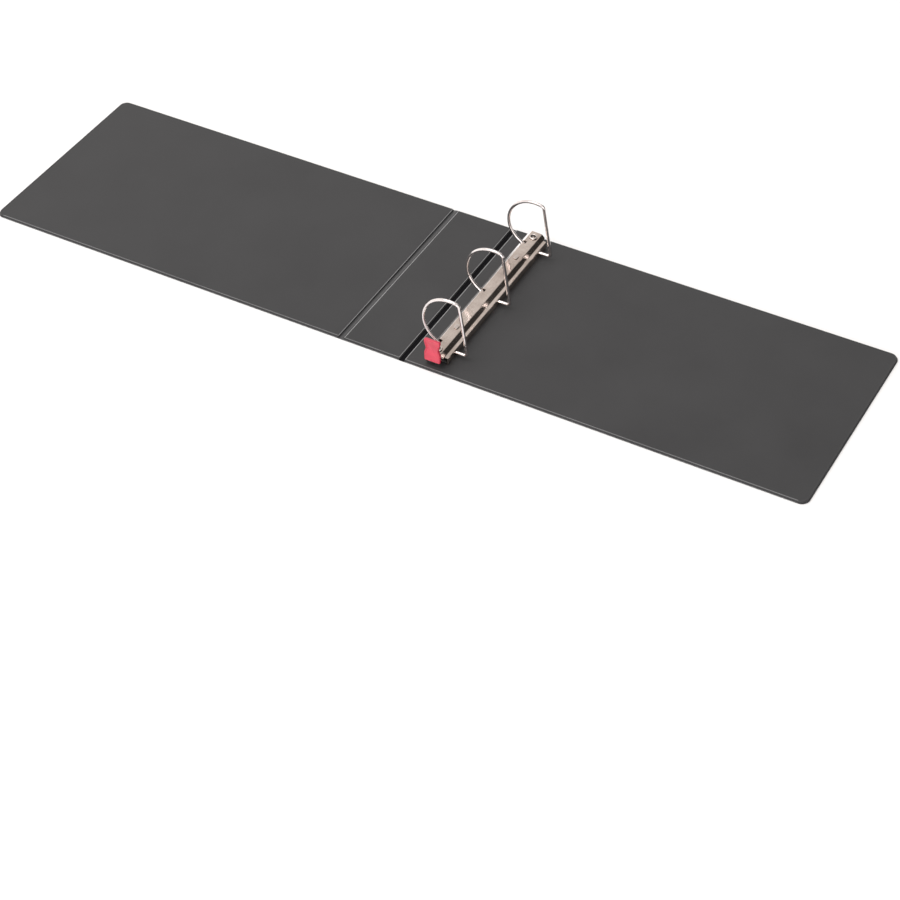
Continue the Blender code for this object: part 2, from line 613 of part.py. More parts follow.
def ring_outline():
    """The ring's centre line in XZ, from the left half's foot round to the right half's."""
    centre = Vector((RING_CENTRE_X, RING_CENTRE_Z))
    half_pi = math.pi / 2
    step = RING_STEP / RING_RADIUS
    fall_start = centre + RING_RADIUS * Vector((math.sin(ROUND_SIDE_FALL), math.cos(ROUND_SIDE_FALL)))
    foot_corner = Vector((LEG_FOOT_X, FOOT_Z))
    lean, fall = math.tan(LEG_LEAN), math.tan(ROUND_SIDE_FALL)
    run = (LEG_FOOT_X - fall_start.x - (fall_start.y - FOOT_Z) * lean) / (1 - lean * fall)
    top_corner = fall_start + Vector((run, -run * fall))
    entry = ROUND_SIDE_END
    leave = (centre[0] + RING_RADIUS * math.cos(entry), centre[1] + RING_RADIUS * math.sin(entry))
    heading = Vector((-math.sin(entry), math.cos(entry)))
    knee = Vector(leave) + heading * ((LEFT_LEG_X - leave[0]) / heading.x)
    foot = (LEFT_LEG_X, FOOT_Z - WIRE / 2 + LEFT_FOOT_RAISE)
    left = [foot] + rounded_corner(foot, knee, leave, KNEE_RADIUS, 6)
    left += arc_points(centre, RING_RADIUS, entry, -1.5 * math.pi - RING_SPLIT_FALL - step, 33)
    right = arc_points(centre, RING_RADIUS, half_pi - RING_SPLIT_FALL + step, half_pi - ROUND_SIDE_FALL, 6)
    right += rounded_corner(fall_start, top_corner, foot_corner, TOP_CORNER_RADIUS, 9)
    inner_end = (RIGHT_TENON_X - WIRE / 2, FOOT_Z)
    right += rounded_corner(top_corner, foot_corner, inner_end, FOOT_CORNER_RADIUS, 9)
    return left, right + [inner_end]


def make_ring_halves():
    made = {}
    wide = WIRE
    split = Vector((GROOVE_X + RING_CENTRE_X + RING_RADIUS * math.sin(RING_SPLIT_FALL), 0.0,
                    RING_CENTRE_Z + RING_RADIUS * math.cos(RING_SPLIT_FALL)))
    for side, line in zip(("left", "right"), ring_outline()):
        points = [(GROOVE_X + x, 0.0, z) for x, z in line]
        first = add_part(f"ring_half_{side}_near", wire_mesh(points, WIRE), NICKEL, 40)
        if side == "left":
            notch = box_mesh((-RING_STEP - STEP_PLAY, -wide, -wide), (wide, wide, STEP_PLAY))
            tenon_x, top = LEFT_LEG_X, FOOT_Z + TENON_OVERLAP
        else:
            notch = box_mesh((-wide, -wide, -STEP_PLAY), (RING_STEP + 2 * STEP_PLAY, wide, wide))
            tenon_x, top = RIGHT_TENON_X, FOOT_Z
        notch.transform(Matrix.Translation(split) @ Matrix.Rotation(RING_SPLIT_FALL, 4, "Y"))
        boolean(first, "DIFFERENCE", "step", [notch])
        tenon = bar_through(PLATE_PIVOT_Z - TENON_BELOW, top, GROOVE_X + tenon_x, 0.0, TENON / 2, 16)
        boolean(first, "UNION", "tenon", [tenon])
        mesh = baked(first)
        made[side] = [first]
        for place in ("middle", "far"):
            made[side].append(add_part(f"ring_half_{side}_{place}", mesh, NICKEL))
    return made


def tab_span():
    """Left and right faces of the travel bar's blocking tabs, across the seam."""
    seam = GROOVE_X + SEAM_X
    return seam - TAB_HALF_WIDTH, seam + TAB_HALF_WIDTH


def make_travel_bar():
    middle = GROOVE_X + RIVET_X
    low, high = BAR_Z, BAR_Z + BAR_THICKNESS
    near = HOUSING_NEAR + BAR_NEAR_INSET
    rivet_y = -RIVET_SPREAD / 2
    wide_end = rivet_y + RIVET_SHANK / 2 + BAR_TRAVEL + BAR_SHOULDER
    half_end = RIVET_SHANK / 2 + RIVET_CLEARANCE + BAR_END_MARGIN
    left = GROOVE_X + LEFT_LEG_X + WIRE / 2 + BAR_LEG_CLEARANCE
    right = GROOVE_X + SEAM_X + BAR_PAST_SEAM
    outline = [(middle - half_end, near), (middle + half_end, near), (middle + half_end, wide_end),
               (right, wide_end + BAR_TAPER), (right, BAR_FAR_END), (left, BAR_FAR_END),
               (left, wide_end + BAR_TAPER), (middle - half_end, wide_end)]
    flat = Matrix.Translation((0.0, 0.0, (low + high) / 2))
    bar = add_part("travel_bar", outline_mesh(outline, BAR_THICKNESS, flat), STEEL)

    tab_left, tab_right = tab_span()
    tab_low = PLATE_PIVOT_Z - (SEAM_X - LEFT_PIVOT_X) * math.sin(PLATE_TILT) + PLATE / 2 + TAB_CLEARANCE
    tabs = []
    for y in TAB_PLACES:
        tabs.append(box_mesh((tab_left, y, tab_low), (tab_right, y + TAB_LENGTH, high - TAB_SINK)))
    boolean(bar, "UNION", "tabs", tabs)

    slots = []
    under, over = low - CUT_PAST, high + CUT_PAST
    guide_y = GUIDE_SPREAD / 2
    for y, shank in ((rivet_y, RIVET_SHANK), (-guide_y, GUIDE_SHANK), (guide_y, GUIDE_SHANK)):
        room = shank / 2 + RIVET_CLEARANCE
        slots.append(box_mesh((middle - room, y - room, under), (middle + room, y + room + BAR_TRAVEL, over)))
    tongue = TONGUE_WIDTH / 2 + TONGUE_PLAY
    lever = GROOVE_X + LEVER_X
    slots.append(box_mesh((lever - tongue, LEVER_PIVOT_Y - TONGUE_SLOT_HALF, under),
                          (lever + tongue, LEVER_PIVOT_Y + TONGUE_SLOT_HALF, over)))
    boolean(bar, "DIFFERENCE", "slots", slots)
    return bar


def make_rivets():
    x = GROOVE_X + RIVET_X
    head, shank = RIVET_HEAD / 2, RIVET_SHANK / 2
    seat = HOUSING_TOP + HEAD_LIFT
    rivet_profile = [(0.0, seat + HOLLOW_MIDDLE), (HEAD_RECESS, seat + HOLLOW_SIDE),
                     (HEAD_RECESS + HEAD_RIM, seat + HEAD_CREST), (head - HEAD_RIM, seat + HEAD_SHOULDER),
                     (head, seat + HEAD_EDGE), (head, seat), (shank, seat),
                     (shank, SKIN + GAP), (0.0, SKIN + GAP)]
    sleeve, bore = CAP_SLEEVE / 2, shank + RIVET_CLEARANCE
    cap_profile = [(0.0, SKIN), (bore, SKIN), (bore, SKIN + BOARD), (sleeve, SKIN + BOARD),
                   (sleeve, SKIN), (head, SKIN), (head, 0.0), (0.0, 0.0)]
    for name, side in (("near", -1), ("far", 1)):
        y = side * RIVET_SPREAD / 2
        add_part(f"mounting_rivet_{name}", turned_mesh(rivet_profile, (x, y, 0.0)), NICKEL, 30)
        add_part(f"rivet_cap_{name}", turned_mesh(cap_profile, (x, y, 0.0)), NICKEL, 30)
        make_guide_rivet(name, x, side * GUIDE_SPREAD / 2)


def make_guide_rivet(name, x, y):
    """An oval head on the housing and a shank with a flat foot that holds the travel bar up."""
    seat = HOUSING_TOP + GUIDE_HEAD_LIFT
    foot_top = BAR_Z - GAP
    width, length = GUIDE_HEAD_WIDTH / 2, GUIDE_HEAD_LENGTH / 2
    oval = arc_points((0.0, length - width), width, 0.0, math.pi, 11)
    oval += arc_points((0.0, width - length), width, math.pi, 2 * math.pi, 11)
    place = Matrix.Translation((x, y, seat + GUIDE_HEAD_RISE / 2))
    head_mesh = outline_mesh(oval, GUIDE_HEAD_RISE, place, GUIDE_HEAD_ROUND)
    head = add_part(f"guide_rivet_{name}", head_mesh, NICKEL, 30)
    shank = bar_through(foot_top - GUIDE_OVERLAP, seat + GUIDE_HEAD_RISE / 2, x, y, GUIDE_SHANK / 2, 20)
    foot = bar_through(foot_top - GUIDE_FOOT_THICKNESS, foot_top, x, y, GUIDE_FOOT / 2, 20)
    boolean(head, "UNION", "shank", [shank])
    boolean(head, "UNION", "foot", [foot])


def make_lever():
    """The steel lever: a barrel on the pin, a core inside the grip, a tongue and a lifting lip."""
    x, y, z = GROOVE_X + LEVER_X, LEVER_PIVOT_Y, LEVER_PIVOT_Z
    half = LEVER_WIDTH / 2
    core_y = grip_middle_y()
    core_half = LEVER_SHEET / 2
    lever = add_part("lever", cylinder_mesh((x - half, y, z), (x + half, y, z), BARREL / 2, 28), STEEL, 30)
    arm = box_mesh((x - half, core_y - core_half, z - ARM_BELOW), (x + half, y - ARM_END, z + ARM_ABOVE))
    core = box_mesh((x - half + CORE_INSET, core_y - core_half + CORE_STEP, z - CORE_BELOW),
                    (x + half - CORE_INSET, core_y + core_half, core_top()))
    tongue = box_mesh((x - TONGUE_WIDTH / 2, y - TONGUE_HALF_THICKNESS, z + TONGUE_FROM),
                      (x + TONGUE_WIDTH / 2, y + TONGUE_HALF_THICKNESS, z + TONGUE_TO))
    lip_low = COVER_TOP + LIP_ABOVE_COVER
    side = x + half
    lip = box_mesh((side - LIP_SIDES[0], y - LIP_HALF_LENGTH, lip_low),
                   (side - LIP_SIDES[1], y + LIP_HALF_LENGTH, lip_low + LIP_THICKNESS))
    post = box_mesh((side - POST_SIDES[0], y - POST_ENDS[0], lip_low + POST_FOOT),
                    (side - POST_SIDES[1], y + POST_ENDS[1], z - POST_TOP))
    for name, mesh in (("arm", arm), ("core", core), ("tongue", tongue), ("post", post), ("lip", lip)):
        boolean(lever, "UNION", name, [mesh])
    past = half + CUT_PAST
    bore = cylinder_mesh((x - past, y, z), (x + past, y, z), PIN / 2 + PIN_PLAY)
    boolean(lever, "DIFFERENCE", "bore", [bore])
    reach = half + EAR_PLAY + EAR
    pin = add_part("lever_pin", cylinder_mesh((x - reach, y, z), (x + reach, y, z), PIN / 2), STEEL, 30)
    return lever, pin


def grip_middle_y():
    return HOUSING_NEAR - GRIP_GAP - GRIP_THICKNESS / 2


def core_top():
    """Top of the lever's core, inside the grip."""
    return GRIP_BOTTOM + GRIP_HEIGHT - CORE_TOP_INSET


def grip_outline():
    """Half-waisted tab: a wide top, a waist above the middle and a straight-sided foot."""
    half, waist = GRIP_WIDTH / 2, GRIP_WAIST / 2
    low, high = GRIP_BOTTOM, GRIP_BOTTOM + GRIP_HEIGHT
    start, narrowest, end = (low + share * GRIP_HEIGHT for share in GRIP_NECK)
    corners = [(-half, low), (half, low), (half, start), (waist, narrowest), (half, end), (half, high),
               (-half, high), (-half, end), (-waist, narrowest), (-half, start)]
    radii = [1.6, 1.6, 3.0, 3.0, 3.0, 2.0, 2.0, 3.0, 3.0, 3.0]
    points = []
    for index, corner in enumerate(corners):
        after = corners[(index + 1) % len(corners)]
        points += rounded_corner(corners[index - 1], corner, after, radii[index] * MM, 5)
    return points


def make_grip():
    middle = grip_middle_y()
    x = GROOVE_X + LEVER_X
    upright = Matrix.Translation((x, middle, 0.0)) @ Matrix.Rotation(math.pi / 2, 4, "X")
    mesh = outline_mesh(grip_outline(), GRIP_THICKNESS, upright, GRIP_ROUND)
    grip = add_part("lever_grip", mesh, RED, 40)
    half = LEVER_WIDTH / 2 + SOCKET_PLAY
    thick = LEVER_SHEET / 2 + SOCKET_PLAY
    socket = box_mesh((x - half, middle - thick, 0.0), (x + half, middle + thick, core_top() + SOCKET_PLAY))
    boolean(grip, "DIFFERENCE", "socket", [socket])
    door = box_mesh((x - half, middle, 0.0),
                    (x + half, middle + GRIP_THICKNESS, LEVER_PIVOT_Z + DOOR_ABOVE))
    boolean(grip, "DIFFERENCE", "door", [door])
    return grip


def make_mechanism():
    make_housing()
    make_rivets()
    rings = make_ring_halves()
    for side, pivot_x in (("left", LEFT_PIVOT_X), ("right", RIGHT_PIVOT_X)):
        plate = make_hinge_plate(side)
        axis = axis_empty(f"{side}_ring_axis", (GROOVE_X + pivot_x, 0.0, PLATE_PIVOT_Z))
        put_on(axis, plate, *rings[side], *[step.object for step in plate.modifiers])
        for ring, place in zip(rings[side], RING_PLACES.values()):
            ring.location.y = place
    bar = make_travel_bar()
    put_on(axis_empty("travel_bar_axis", (GROOVE_X + RIVET_X, HOUSING_NEAR, BAR_Z)), bar,
           *[step.object for step in bar.modifiers])
    lever, pin = make_lever()
    grip = make_grip()
    moving = (lever, grip)
    put_on(axis_empty("lever_axis", (GROOVE_X + LEVER_X, LEVER_PIVOT_Y, LEVER_PIVOT_Z)), *moving,
           *[step.object for piece in moving for step in piece.modifiers])


make_covers()
make_mechanism()
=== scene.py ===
"""The looks of a black vinyl three-ring binder, lying open on a pale floor.

The vinyl sheets, the hinge grooves, the rings, the mounting rivets and the lever's grip are replaced
by finer pieces, placed from the boxes of the CAD nodes; the other nodes keep their shape and get a
finish. Sizes that a box can't give are named first.
"""
import math

import bmesh
import bpy
from mathutils import Matrix, Vector


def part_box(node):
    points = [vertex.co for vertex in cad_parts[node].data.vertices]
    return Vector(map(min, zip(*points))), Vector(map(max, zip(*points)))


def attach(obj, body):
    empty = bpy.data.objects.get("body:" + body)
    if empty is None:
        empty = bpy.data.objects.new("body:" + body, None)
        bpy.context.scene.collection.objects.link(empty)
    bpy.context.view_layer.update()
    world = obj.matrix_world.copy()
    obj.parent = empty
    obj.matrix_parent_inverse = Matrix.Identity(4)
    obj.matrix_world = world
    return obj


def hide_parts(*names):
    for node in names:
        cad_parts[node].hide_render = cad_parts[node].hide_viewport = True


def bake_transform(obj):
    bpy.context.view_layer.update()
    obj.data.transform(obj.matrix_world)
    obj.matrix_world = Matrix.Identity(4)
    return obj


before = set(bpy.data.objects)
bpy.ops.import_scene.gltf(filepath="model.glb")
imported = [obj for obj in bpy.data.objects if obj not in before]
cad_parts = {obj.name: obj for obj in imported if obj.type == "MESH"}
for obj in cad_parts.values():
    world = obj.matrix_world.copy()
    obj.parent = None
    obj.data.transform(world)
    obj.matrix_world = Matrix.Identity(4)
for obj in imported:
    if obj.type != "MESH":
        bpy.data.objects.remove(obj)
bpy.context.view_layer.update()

MM = 0.001
ENDS = ("near", "far")

# ---- camera, from the frame's origin ----
CAMERA_TARGET = (0.180, -0.270, 0.020)
CAMERA_DISTANCE = 2.597
CAMERA_AZIMUTH = math.radians(30.07)
CAMERA_ELEVATION = math.radians(43.34)
CAMERA_ROLL = math.radians(-1.23)
CAMERA_LENS = 91.47
CAMERA_SENSOR = 36.0
CAMERA_CLIP = (0.05, 50.0)

# ---- studio ----
FLOOR_REACH = 6.0
FLOOR_DROP = 0.05 * MM
STUDIO_COLOUR = (1.0, 0.965, 0.94, 1.0)
# Each row: a direction, the closeness to it where its tone starts and where it is complete,
# and the brightness before and after. The rows are multiplied.
STUDIO_TONES = (
    ((0.74, 0.62, 0.10), 0.45, 0.85, 1.0, 0.03),        # a dark wall for the metal to mirror
    ((0.0, 0.0, 1.0), 0.25, 0.95, 1.25, 0.72),          # the ceiling, dimmer than the walls
    ((-0.29, 0.63, 0.72), 0.88, 0.985, 1.0, 0.70))      # a dimmer patch of it, behind the binder
# Each row: a name, a place, the point it faces, its two sides and its power in watts.
LIGHTS = (
    ("key", (-1.7, -0.9, 4.9), (0.0, 0.0, 0.0), (3.4, 3.4), 140.0),
    ("front_fill", (1.0, -3.0, 0.9), (0.1, 0.0, 0.0), (1.6, 0.9), 22.0))

# ---- covers: heights are above the table, insets are from a panel's outline ----
CORNER_RADIUS = 11.0 * MM
HINGE_CORNER = 1.0 * MM         # a panel's corners beside a groove; it marks a side as a groove's
LEAST_CORNER = 0.05 * MM
CORNER_STEPS = 10
HINGE_SHARE = 0.5               # of the other sides' insets, along a groove
RIM_REACH = 5.0 * MM            # insets past this are in the flat, and the same on every side
FLAT_INSET = 8.0 * MM
BOARD_GAP = 0.12 * MM           # between a board's top and the sheet over it
SHEET_BETWEEN = 0.60 * MM       # height where the two welded sheets meet
RIM_TOP = 0.95 * MM
BEAD_RISE = 0.12 * MM           # of the board's edge above the cover's flat
BEAD_ROWS = range(15, 20)       # rows of the inner section from its wall's top over the bead, which take a painted highlight beside a groove
RIM_ROWS = (8, 9, 17, 18)       # the rim's outer edge and the bead's crest, which take a painted highlight at the near side
HOLE_STEPS = 40
HOLE_PLAY = 0.25 * MM
HOLE_PAST = 1.0 * MM            # a hole's cutter goes this far past the sheets

# ---- hinge grooves ----
GROOVE_REACH = 3.9 * MM         # from a groove's middle to the foot of the boards' walls
GROOVE_CREST = 1.6 * MM         # from a groove's middle to its swell's highest line
GROOVE_STEPS = 26               # across a half
GROOVE_ROWS = 24                # along it
GROOVE_END_GAP = 0.05 * MM
GROOVE_UNDERSIDE = 0.12 * MM
GROOVE_OVER_WEB = 0.02 * MM
BACK_GROOVE_RISE = 0.05 * MM
FRONT_GROOVE_RISE = 0.9 * MM

# ---- rings ----
LEG_INSET = 6.2 * MM            # left legs, from the housing's left side
LEG_FOOT_OUT = 16.2 * MM        # right legs' feet, from the housing's right side
FOOT_ABOVE_TENON = 3.8 * MM
LEFT_FOOT_SHARE = 0.4           # of the wire, by which the left legs end lower
RING_RADIUS = 36.0 * MM
LEG_LEAN = math.radians(8.5)
TOP_CORNER_RADIUS = 5.0 * MM
FOOT_CORNER_RADIUS = 3.4 * MM
ENTRY_ANGLE = math.radians(-124.0)
KNEE_RADIUS = 2.4 * MM
SPLIT_FALL = math.radians(7.0)          # past the round side's highest point, where the halves meet
ROUND_SIDE_FALL = math.radians(13.0)    # past it, where the round side ends in a straight
HALF_STEP = 1.3 * MM
STEP_PLAY = 0.12 * MM
STEP_EDGE = 0.22 * MM
STEP_EDGE_ANGLE = math.radians(50)
ROUND_SIDE_POINTS = 96
ROUND_END_POINTS = 12
CORNER_POINTS = 14
WIRE_RESOLUTION = 8
SAME_POINT = 1e-7

# ---- mounting rivets ----
SHANK_RADIUS = 3.0 * MM
RIVET_CREST = 1.1 * MM          # of the rim above the housing
RIVET_RIM = 1.25 * MM           # radius of the rolled rim's section
RIM_LIFT = 0.05 * MM
RIM_ROLL = math.pi * 0.86       # how far round the rim is rolled
RIM_POINTS = 12
HEAD_UNDERCUT = 0.2 * MM
TURNED_STEPS = 48
# Radii and depths under the housing's top, from the shank's middle to the rim's inner side
WELL = ((0.0, 0.2 * MM), (1.0 * MM, 0.25 * MM), (1.35 * MM, 0.5 * MM),
        (1.5 * MM, 1.6 * MM), (2.3 * MM, 1.7 * MM), (2.6 * MM, 0.5 * MM))
PAINTED_SHADE_WELL_ROWS = (2, 3, 4, 5)        # its rows painted near-black as shade

# ---- grip and housing ----
WAIST_INSET = 2.4 * MM
WAIST_HEIGHTS = (0.36, 0.58, 0.86)      # where the waist starts, is narrowest and ends, of the height
FOOT_RADIUS = 1.6 * MM
WAIST_RADIUS = 3.0 * MM
HEAD_RADIUS = 2.0 * MM
GRIP_CORNER_POINTS = 8
GRIP_MIDDLE = 0.56              # of the height
GRIP_EDGE = 1.3 * MM
FRONT_EDGE_STEPS = 6
BACK_EDGE_STEPS = 5
FACE_SHARES = (0.12, 0.24, 0.36, 0.48, 0.60, 0.72, 0.84, 0.94)     # of the way to the edge
FACE_DEPTH = 0.62 * MM          # of the face behind the edge's front, before the dish and the crease
DISH_DEPTH = 0.95 * MM
DISH_LENGTHWISE = 0.8           # how fast the dish fades up and down, next to across
CREASE_RISE = 0.60 * MM
CREASE_SLOPE = 0.9              # of the two crossing lines, in half widths for each half height
CREASE_WIDTH = 0.13             # of the half width
HOUSING_EDGE = 0.18 * MM
HOUSING_EDGE_ANGLE = math.radians(40)

# ---- finishes ----
NOISE_ROUGHNESS = 0.55
COLOUR_A, COLOUR_B, COLOUR_OUT = 6, 7, 2    # the Mix node's sockets for colours, which share their names
DRAWN_ALONG_Y = (900.0, 14.0, 900.0)        # scales of a texture, per metre
DRAWN_NO_WAY = (300.0, 300.0, 300.0)
PLATE_WAVE = (130.0, 26.0, 130.0)
ROLLED_GRAIN = (1200.0, 30.0, 1200.0)
BOARD_FIBRE = (500.0, 160.0, 900.0)


# ---- mesh helpers -----------------------------------------------------------
def placed(name, data):
    """A new object in the scene, with its own data."""
    thing = bpy.data.objects.new(name, data)
    bpy.context.scene.collection.objects.link(thing)
    return thing


def new_piece(name, mesh, *finishes, smooth_angle=35.0):
    piece = placed(name, mesh)
    for finish in finishes:
        mesh.materials.append(finish)
    mesh.shade_smooth()
    mesh.set_sharp_from_angle(angle=math.radians(smooth_angle))
    return piece


def mesh_from(shape, name):
    bmesh.ops.recalc_face_normals(shape, faces=shape.faces)
    mesh = bpy.data.meshes.new(name)
    shape.to_mesh(mesh)
    shape.free()
    return mesh


def evaluated_mesh(thing):
    """A new mesh of an object with its modifiers applied."""
    bpy.context.view_layer.update()
    return bpy.data.meshes.new_from_object(thing.evaluated_get(bpy.context.evaluated_depsgraph_get()))


def soften(piece, name, width, angle):
    """Bevels the edges that are sharper than an angle."""
    bevel = piece.modifiers.new(name, "BEVEL")
    bevel.width = width
    bevel.segments = 2
    bevel.limit_method = "ANGLE"
    bevel.angle_limit = angle


def cut_away(piece, cutter_mesh, edge=None):
    """Cuts a shape out of a piece's own mesh, and rounds the edges by the size given."""
    cutter = placed("cutter", cutter_mesh)
    cut = piece.modifiers.new("cut", "BOOLEAN")
    cut.operation = "DIFFERENCE"
    cut.solver = "EXACT"
    cut.object = cutter
    if edge:
        soften(piece, "edge", edge, STEP_EDGE_ANGLE)
    mesh = evaluated_mesh(piece)
    piece.modifiers.clear()
    piece.data = mesh
    bpy.data.objects.remove(cutter, do_unlink=True)


def add_band(shape, first, second):
    """Faces between two closed rows of vertices, in the order of the rows."""
    count = len(first)
    faces = []
    for i in range(count):
        after = (i + 1) % count
        faces.append(shape.faces.new((first[i], first[after], second[after], second[i])))
    return faces


def arc(centre, radius, start, end, count):
    angles = [start + (end - start) * i / (count - 1) for i in range(count)]
    return [Vector((centre[0] + radius * math.cos(a), centre[1] + radius * math.sin(a))) for a in angles]


# ---- node helpers -----------------------------------------------------------
def closeness(tree, vector, direction):
    """How closely a vector points in a direction: 1 when they are the same, 0 when square."""
    dot = tree.nodes.new("ShaderNodeVectorMath")
    dot.operation = "DOT_PRODUCT"
    dot.inputs[1].default_value = Vector(direction).normalized()
    tree.links.new(vector, dot.inputs[0])
    return dot.outputs["Value"]


def mapped(tree, value, start, end, low, high, kind="LINEAR"):
    """A value's stretch from start to end, carried over to low to high."""
    node = tree.nodes.new("ShaderNodeMapRange")
    node.interpolation_type = kind
    for socket, number in (("From Min", start), ("From Max", end), ("To Min", low), ("To Max", high)):
        node.inputs[socket].default_value = number
    tree.links.new(value, node.inputs["Value"])
    return node.outputs["Result"]


class Nodes:
    """A material under construction: its tree, its shader and short ways to add nodes."""

    def __init__(self, name):
        self.material = bpy.data.materials.new(name)
        self.material.use_nodes = True
        self.tree = self.material.node_tree
        self.shader = self.tree.nodes["Principled BSDF"]
        self.place = self.tree.nodes.new("ShaderNodeTexCoord").outputs["Object"]

    def value(self, **sockets):
        for socket, value in sockets.items():
            self.shader.inputs[socket.replace("_", " ")].default_value = value

    def link(self, output, socket):
        self.tree.links.new(output, self.shader.inputs[socket])

    def stretched(self, scales):
        node = self.tree.nodes.new("ShaderNodeMapping")
        node.inputs["Scale"].default_value = scales
        self.tree.links.new(self.place, node.inputs["Vector"])
        return node.outputs["Vector"]

    def noise(self, scale, detail, vector=None):
        node = self.tree.nodes.new("ShaderNodeTexNoise")
        node.inputs["Scale"].default_value = scale
        node.inputs["Detail"].default_value = detail
        node.inputs["Roughness"].default_value = NOISE_ROUGHNESS
        self.tree.links.new(vector or self.place, node.inputs["Vector"])
        return node.outputs["Fac"]

    def cells(self, scale):
        node = self.tree.nodes.new("ShaderNodeTexVoronoi")
        node.feature = "SMOOTH_F1"
        node.inputs["Scale"].default_value = scale
        self.tree.links.new(self.place, node.inputs["Vector"])
        return node.outputs["Distance"]

    def ramp(self, fac, *stops):
        """A colour for each value; a stop is a position with a colour or a grey."""
        node = self.tree.nodes.new("ShaderNodeValToRGB")
        self.tree.links.new(fac, node.inputs["Fac"])
        for element, (position, colour) in zip(node.color_ramp.elements, stops):
            element.position = position
            element.color = (*colour, 1.0) if isinstance(colour, tuple) else (colour, colour, colour, 1.0)
        return node.outputs["Color"]

    def between(self, fac, low, high, start, end):
        return mapped(self.tree, fac, start, end, low, high)

    def sum(self, first, second, share):
        """The first value with a share of the second added."""
        node = self.tree.nodes.new("ShaderNodeMath")
        node.operation = "MULTIPLY_ADD"
        self.tree.links.new(second, node.inputs[0])
        node.inputs[1].default_value = share
        self.tree.links.new(first, node.inputs[2])
        return node.outputs["Value"]

    def towards(self, direction, start, end):
        """Share that rises from 0 to 1 as the surface's normal comes closer to a direction."""
        normal = self.tree.nodes.new("ShaderNodeTexCoord").outputs["Normal"]
        return self.between(closeness(self.tree, normal, direction), low=0.0, high=1.0, start=start, end=end)

    def mixed(self, share, colour, other):
        node = self.tree.nodes.new("ShaderNodeMix")
        node.data_type = "RGBA"
        self.tree.links.new(share, node.inputs["Factor"])
        self.tree.links.new(colour, node.inputs[COLOUR_A])
        node.inputs[COLOUR_B].default_value = (*other, 1.0)
        return node.outputs[COLOUR_OUT]

    def bump(self, height, strength, distance):
        node = self.tree.nodes.new("ShaderNodeBump")
        node.inputs["Strength"].default_value = strength
        node.inputs["Distance"].default_value = distance
        self.tree.links.new(height, node.inputs["Height"])
        self.link(node.outputs["Normal"], "Normal")


# ---- finishes ---------------------------------------------------------------
def vinyl(name, dark, light, roughness, grain=0.35, shine=0.4):
    """Calendered sheet: pebble grain, finer pores and slow clouding of its tone and gloss."""
    nodes = Nodes(name)
    nodes.value(Specular_IOR_Level=shine, Sheen_Weight=0.04, Sheen_Roughness=0.5)
    cloud = nodes.noise(scale=9.0, detail=4.0)
    pebble = nodes.cells(scale=1100.0)
    pores = nodes.noise(scale=3200.0, detail=2.0)
    tone = nodes.sum(cloud, pebble, share=0.25)
    gloss = nodes.sum(cloud, pores, share=0.2)
    nodes.link(nodes.ramp(tone, (0.3, dark), (0.85, light)), "Base Color")
    nodes.link(nodes.between(gloss, roughness - 0.05, roughness + 0.06, start=0.3, end=0.8), "Roughness")
    nodes.bump(nodes.sum(pebble, pores, share=0.35), strength=grain, distance=0.12 * MM)
    return nodes.material


def nickel(name, dark, light, roughness, drawn=DRAWN_ALONG_Y, painted_highlight_facing=None):
    """Bright plate over drawn sheet: faint draw lines along the piece, haze and small rubbed spots, and a
    near-white painted highlight on faces turned towards a given direction.
    """
    nodes = Nodes(name)
    nodes.value(Metallic=1.0)
    lines = nodes.noise(scale=1.0, detail=2.0, vector=nodes.stretched(drawn))
    haze = nodes.noise(scale=34.0, detail=4.0)
    rubbed = nodes.noise(scale=420.0, detail=3.0)
    tone = nodes.ramp(nodes.sum(haze, rubbed, share=0.25), (0.35, dark), (0.8, light))
    if painted_highlight_facing:
        # Painted highlight: faces turned towards the given direction get a near-white colour
        tone = nodes.mixed(nodes.towards(painted_highlight_facing, start=0.90, end=0.98), tone, (0.99, 0.96, 0.94))
    nodes.link(tone, "Base Color")
    gloss = nodes.sum(haze, lines, share=0.5)
    nodes.link(nodes.between(gloss, roughness - 0.05, roughness + 0.10, start=0.4, end=1.1), "Roughness")
    wave = nodes.noise(scale=1.0, detail=2.0, vector=nodes.stretched(PLATE_WAVE))
    relief = nodes.sum(nodes.sum(lines, haze, share=1.5), wave, share=55.0)
    nodes.bump(relief, strength=0.10, distance=0.05 * MM)
    return nodes.material


def plain_steel(name, dark, light):
    """Bare spring steel with a rolled grain and some dull spots."""
    nodes = Nodes(name)
    nodes.value(Metallic=1.0)
    rolled = nodes.noise(scale=1.0, detail=3.0, vector=nodes.stretched(ROLLED_GRAIN))
    spots = nodes.noise(scale=160.0, detail=4.0)
    nodes.link(nodes.ramp(spots, (0.3, dark), (0.7, light)), "Base Color")
    nodes.link(nodes.between(rolled, low=0.28, high=0.46, start=0.3, end=0.7), "Roughness")
    nodes.bump(rolled, strength=0.15, distance=0.05 * MM)
    return nodes.material


def chipboard(name):
    """Grey pressed board with flecks of fibre."""
    nodes = Nodes(name)
    fibre = nodes.noise(scale=1.0, detail=4.0, vector=nodes.stretched(BOARD_FIBRE))
    fleck = nodes.noise(scale=900.0, detail=2.0)
    tone = nodes.sum(fibre, fleck, share=0.4)
    nodes.link(nodes.ramp(tone, (0.4, (0.20, 0.18, 0.155)), (0.95, (0.42, 0.39, 0.34))), "Base Color")
    nodes.value(Roughness=0.92)
    nodes.bump(fibre, strength=0.5, distance=0.15 * MM)
    return nodes.material


